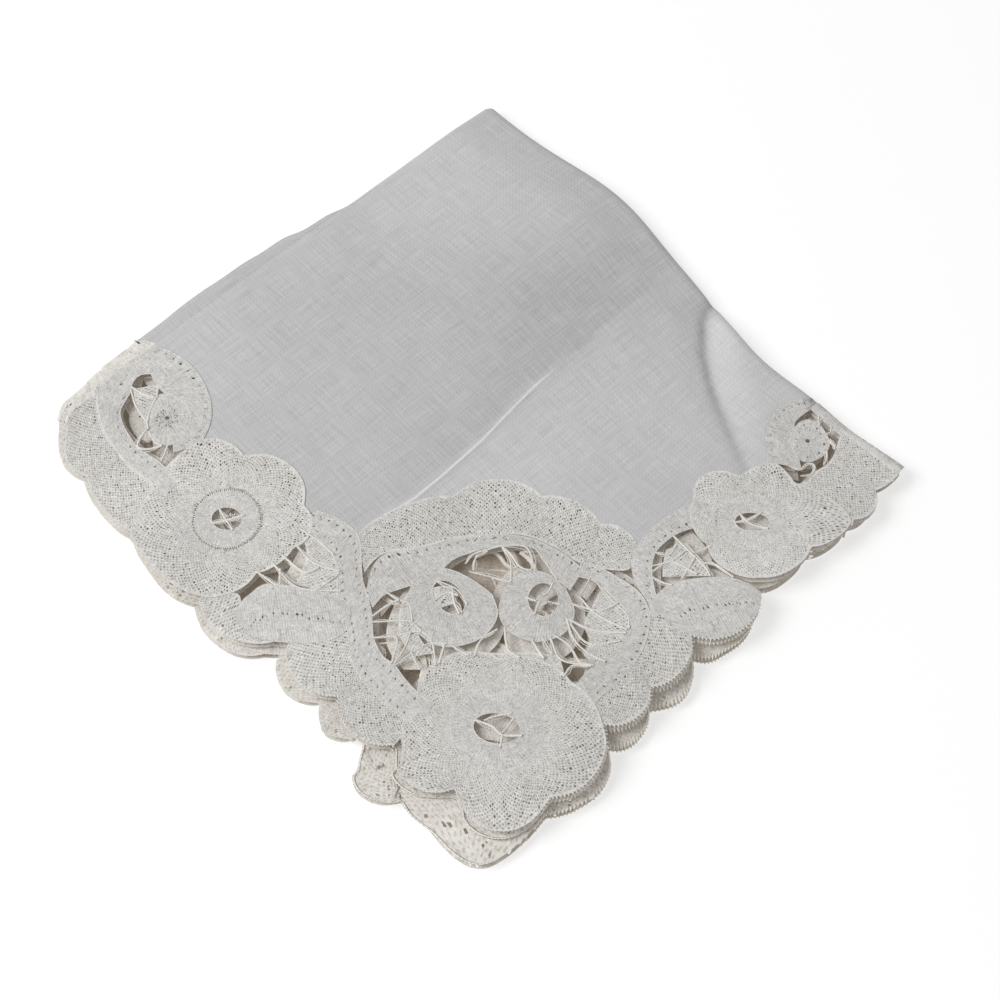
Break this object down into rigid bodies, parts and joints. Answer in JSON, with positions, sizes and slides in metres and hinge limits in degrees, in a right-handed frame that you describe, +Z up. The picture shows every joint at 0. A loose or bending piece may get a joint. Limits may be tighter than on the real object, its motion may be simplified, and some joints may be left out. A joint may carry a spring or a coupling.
{
  "type": "folded lace handkerchief",
  "caption": "Square lawn handkerchief with a scalloped tape-and-net lace border, folded in quarters and lying flat.",
  "frame": {"origin": "under the middle of the folded handkerchief's box, on the surface it lies on", "axes": "+Z up, the thin way through the fold; +X points away from the lace corner along its right-hand edge, +Y away from it along its left-hand edge"},
  "size_m": [0.153, 0.1588, 0.0078],
  "materials": {
    "lawn": "fine plain weave, matt, slightly sheer, cool white",
    "lace": "cotton tape and net lace, matt, warm ivory white"
  },
  "bodies": {
    "root": {"lawn": "lawn", "lace": "lace"}
  },
  "joints": []
}
